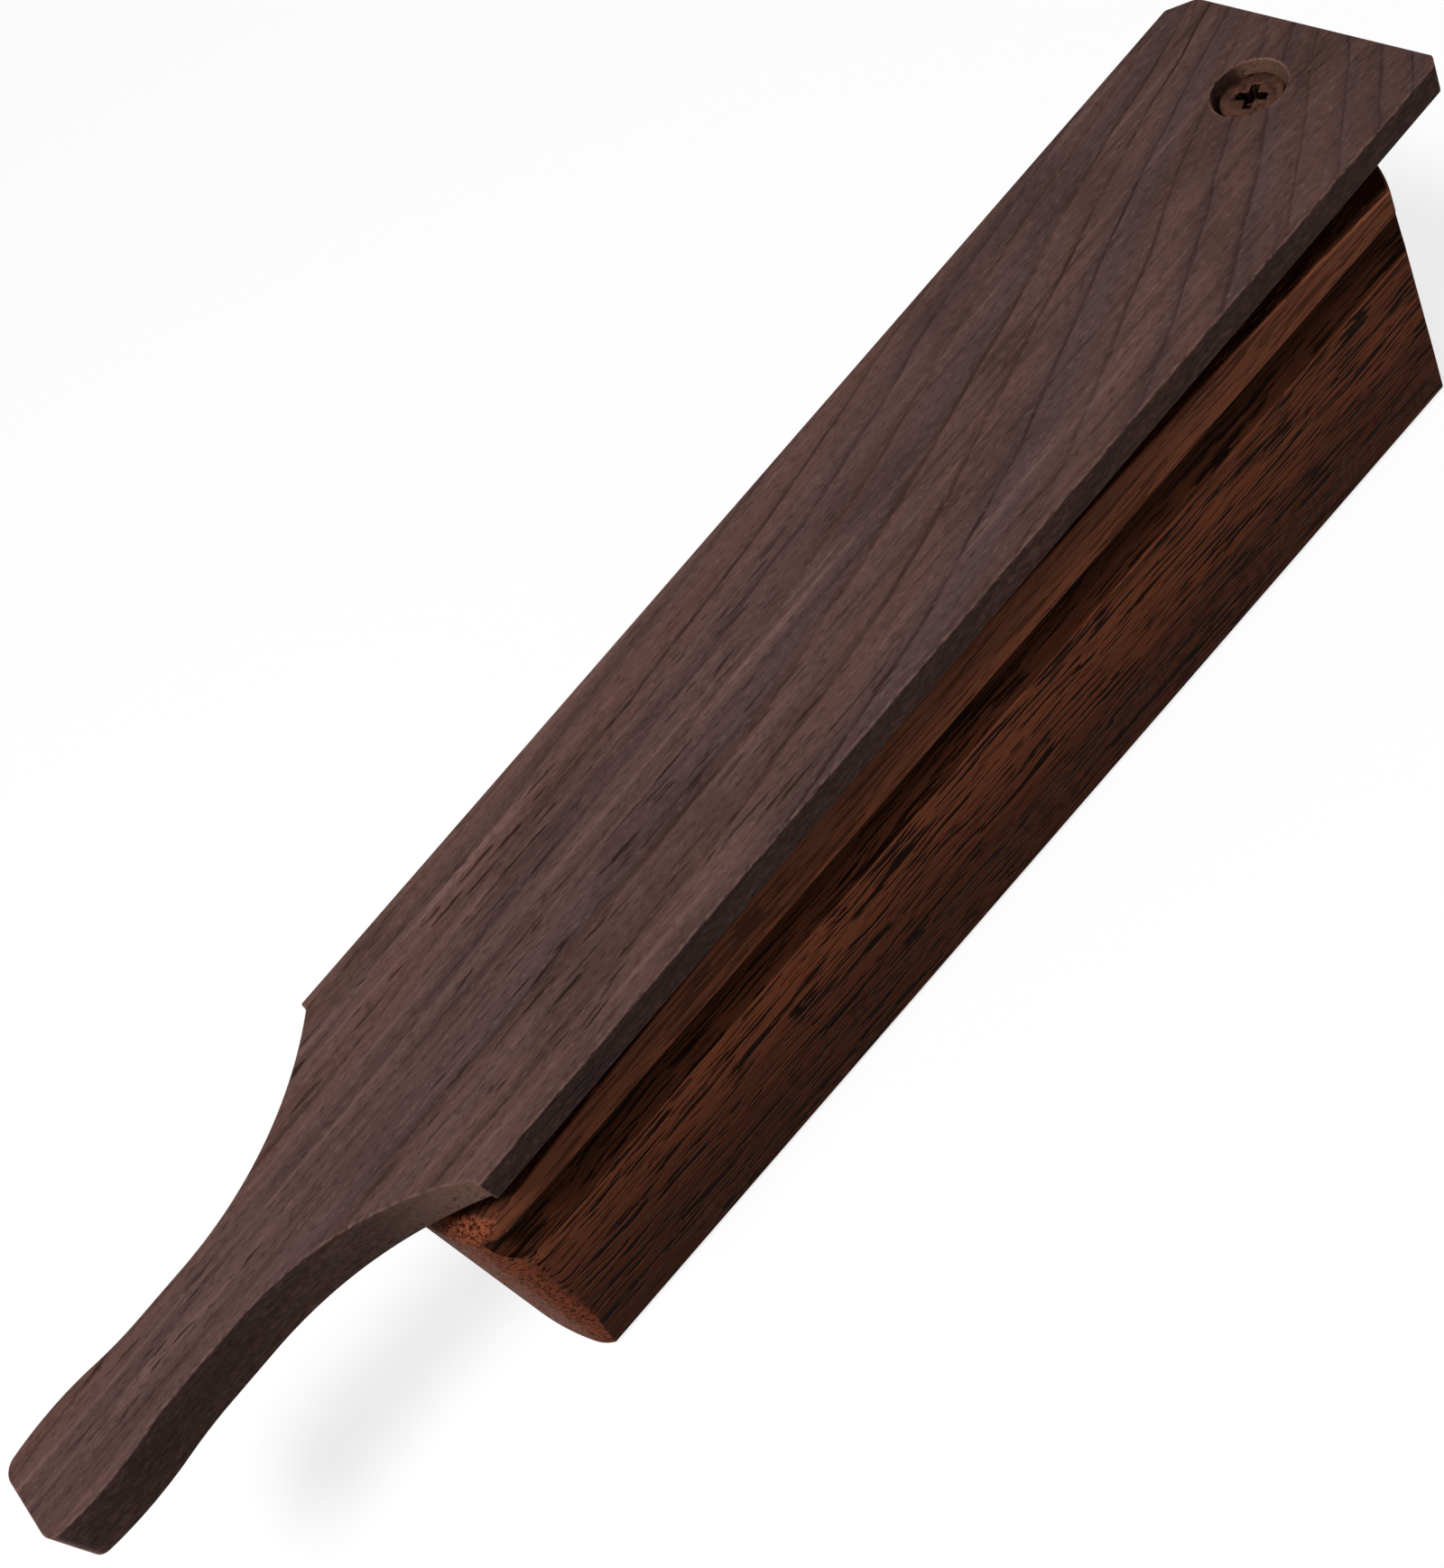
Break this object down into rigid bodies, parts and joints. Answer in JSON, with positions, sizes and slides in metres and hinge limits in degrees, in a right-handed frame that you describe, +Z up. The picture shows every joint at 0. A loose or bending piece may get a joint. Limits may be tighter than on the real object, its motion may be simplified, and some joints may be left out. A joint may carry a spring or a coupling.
{
  "type": "bird call",
  "caption": "Friction box call: a hollow milled wooden trough with arched rails, and a paddle lid that swings and rocks on a sprung screw.",
  "frame": {"origin": "middle of the trough's flat bottom, on the surface it stands on", "axes": "+Z up, X along the length with the handle towards -X and the pivot screw towards +X, the pictured long side faces -Y"},
  "size_m": [0.2479, 0.0449, 0.0523],
  "materials": {
    "trough_wood": "oiled red-brown hardwood with open black pores",
    "lid_wood": "satin oiled walnut",
    "screw_metal": "dark bronzed steel",
    "spring_steel": "drawn spring wire",
    "washer_steel": "stamped steel"
  },
  "bodies": {
    "trough": {"box_body": "trough_wood", "pivot_screw": "screw_metal"},
    "spring": {"tension_spring": "spring_steel"},
    "lid": {"paddle_lid": "lid_wood", "spring_washer": "washer_steel"}
  },
  "joints": [
    {"name": "lid_swing", "type": "hinge", "parent": "trough", "child": "spring", "pos_m": [0.0898, 0, 0.0424], "axis": [0, 0, 1], "continuous": true},
    {"name": "lid_lift", "type": "hinge", "parent": "spring", "child": "lid", "pos_m": [0.0928, 0.00005, 0.0424], "axis": [-0.0175, 0.9998, 0], "range_deg": [0, 4], "stiffness_Nm_per_rad": 0.3, "springref_deg": -5.73, "deforming": ["tension_spring"]}
  ]
}
